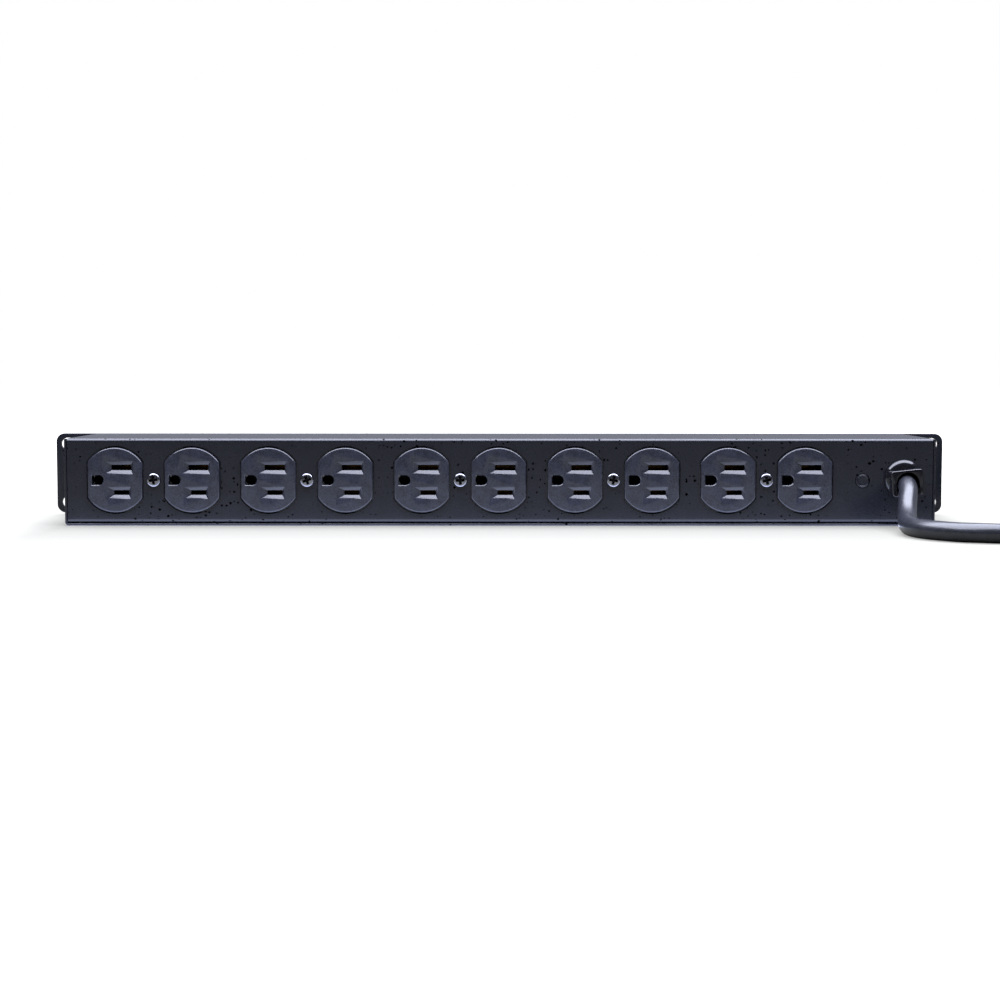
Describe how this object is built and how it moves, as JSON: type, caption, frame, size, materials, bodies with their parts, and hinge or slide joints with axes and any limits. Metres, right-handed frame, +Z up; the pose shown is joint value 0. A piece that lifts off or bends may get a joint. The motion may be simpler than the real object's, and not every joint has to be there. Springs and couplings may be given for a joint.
{
  "type": "rack power strip",
  "caption": "One-unit 19-inch rack power strip with duplex mains outlets on its rear face, a rocker switch and reset breaker on its rack panel, and a coiled lead.",
  "frame": {"origin": "under the middle of the strip, measured without its lead, on the surface that it stands on", "axes": "+X along the strip towards the lead, -Y out of the outlet face, +Y out of the rack panel, +Z up"},
  "size_m": [0.6539, 0.1804, 0.0542],
  "materials": {
    "powder_coat": "black powder-coated sheet steel, fine texture",
    "outlet_plastic": "dark grey moulded nylon",
    "moulded_body": "black moulded thermoplastic",
    "zinc": "zinc plated steel",
    "brass": "rolled brass strip",
    "strap_steel": "plated steel strip",
    "cord_jacket": "black cord jacket, slightly glossy",
    "bushing_nylon": "black moulded nylon",
    "rocker_plastic": "polished black thermoplastic",
    "reset_button": "white thermoplastic",
    "nickel": "nickel plate",
    "tie_cloth": "woven hook and loop tape",
    "wire_black": "PVC insulation",
    "wire_white": "PVC insulation",
    "wire_green": "PVC insulation"
  },
  "bodies": {
    "root": {"bottom_cover": "powder_coat", "breaker_housing": "moulded_body", "breaker_nut": "nickel", "chassis": "powder_coat", "coil_tie": "tie_cloth", "cord": "cord_jacket", "cord_coil": "cord_jacket", "cord_tail": "cord_jacket", "front_panel": "powder_coat", "ground_lead": "wire_green", "ground_nut": "zinc", "ground_strap_1": "strap_steel", "ground_strap_2": "strap_steel", "ground_strap_3": "strap_steel", "ground_strap_4": "strap_steel", "ground_strap_5": "strap_steel", "ground_stud": "powder_coat", "line_bus": "wire_black", "line_contact_1": "brass", "line_contact_2": "brass", "line_contact_3": "brass", "line_contact_4": "brass", "line_contact_5": "brass", "line_jumper": "wire_black", "line_lead": "wire_black", "neutral_bus": "wire_white", "neutral_contact_1": "brass", "neutral_contact_2": "brass", "neutral_contact_3": "brass", "neutral_contact_4": "brass", "neutral_contact_5": "brass", "panel_screw_1": "zinc", "panel_screw_2": "zinc", "panel_screw_3": "zinc", "panel_screw_4": "zinc", "plug_blade_line": "nickel", "plug_blade_neutral": "nickel", "plug_body": "cord_jacket", "plug_ground_pin": "nickel", "receptacle_face_1": "outlet_plastic", "receptacle_face_2": "outlet_plastic", "receptacle_face_3": "outlet_plastic", "receptacle_face_4": "outlet_plastic", "receptacle_face_5": "outlet_plastic", "receptacle_housing_1": "moulded_body", "receptacle_housing_2": "moulded_body", "receptacle_housing_3": "moulded_body", "receptacle_housing_4": "moulded_body", "receptacle_housing_5": "moulded_body", "receptacle_screw_1": "zinc", "receptacle_screw_2": "zinc", "receptacle_screw_3": "zinc", "receptacle_screw_4": "zinc", "receptacle_screw_5": "zinc", "strain_relief": "bushing_nylon", "strain_relief_wedge": "bushing_nylon", "switch_housing": "moulded_body"},
    "rocker": {"switch_rocker": "rocker_plastic"},
    "reset_button": {"breaker_button": "reset_button"}
  },
  "joints": [
    {"name": "rocker_tilt", "type": "hinge", "parent": "root", "child": "rocker", "pos_m": [0.19, 0.03255, 0.0228], "axis": [-1, 0, 0], "range_deg": [0, 20]},
    {"name": "reset_travel", "type": "slide", "parent": "root", "child": "reset_button", "axis": [0, 1, 0], "range_m": [0, 0.0032]}
  ]
}
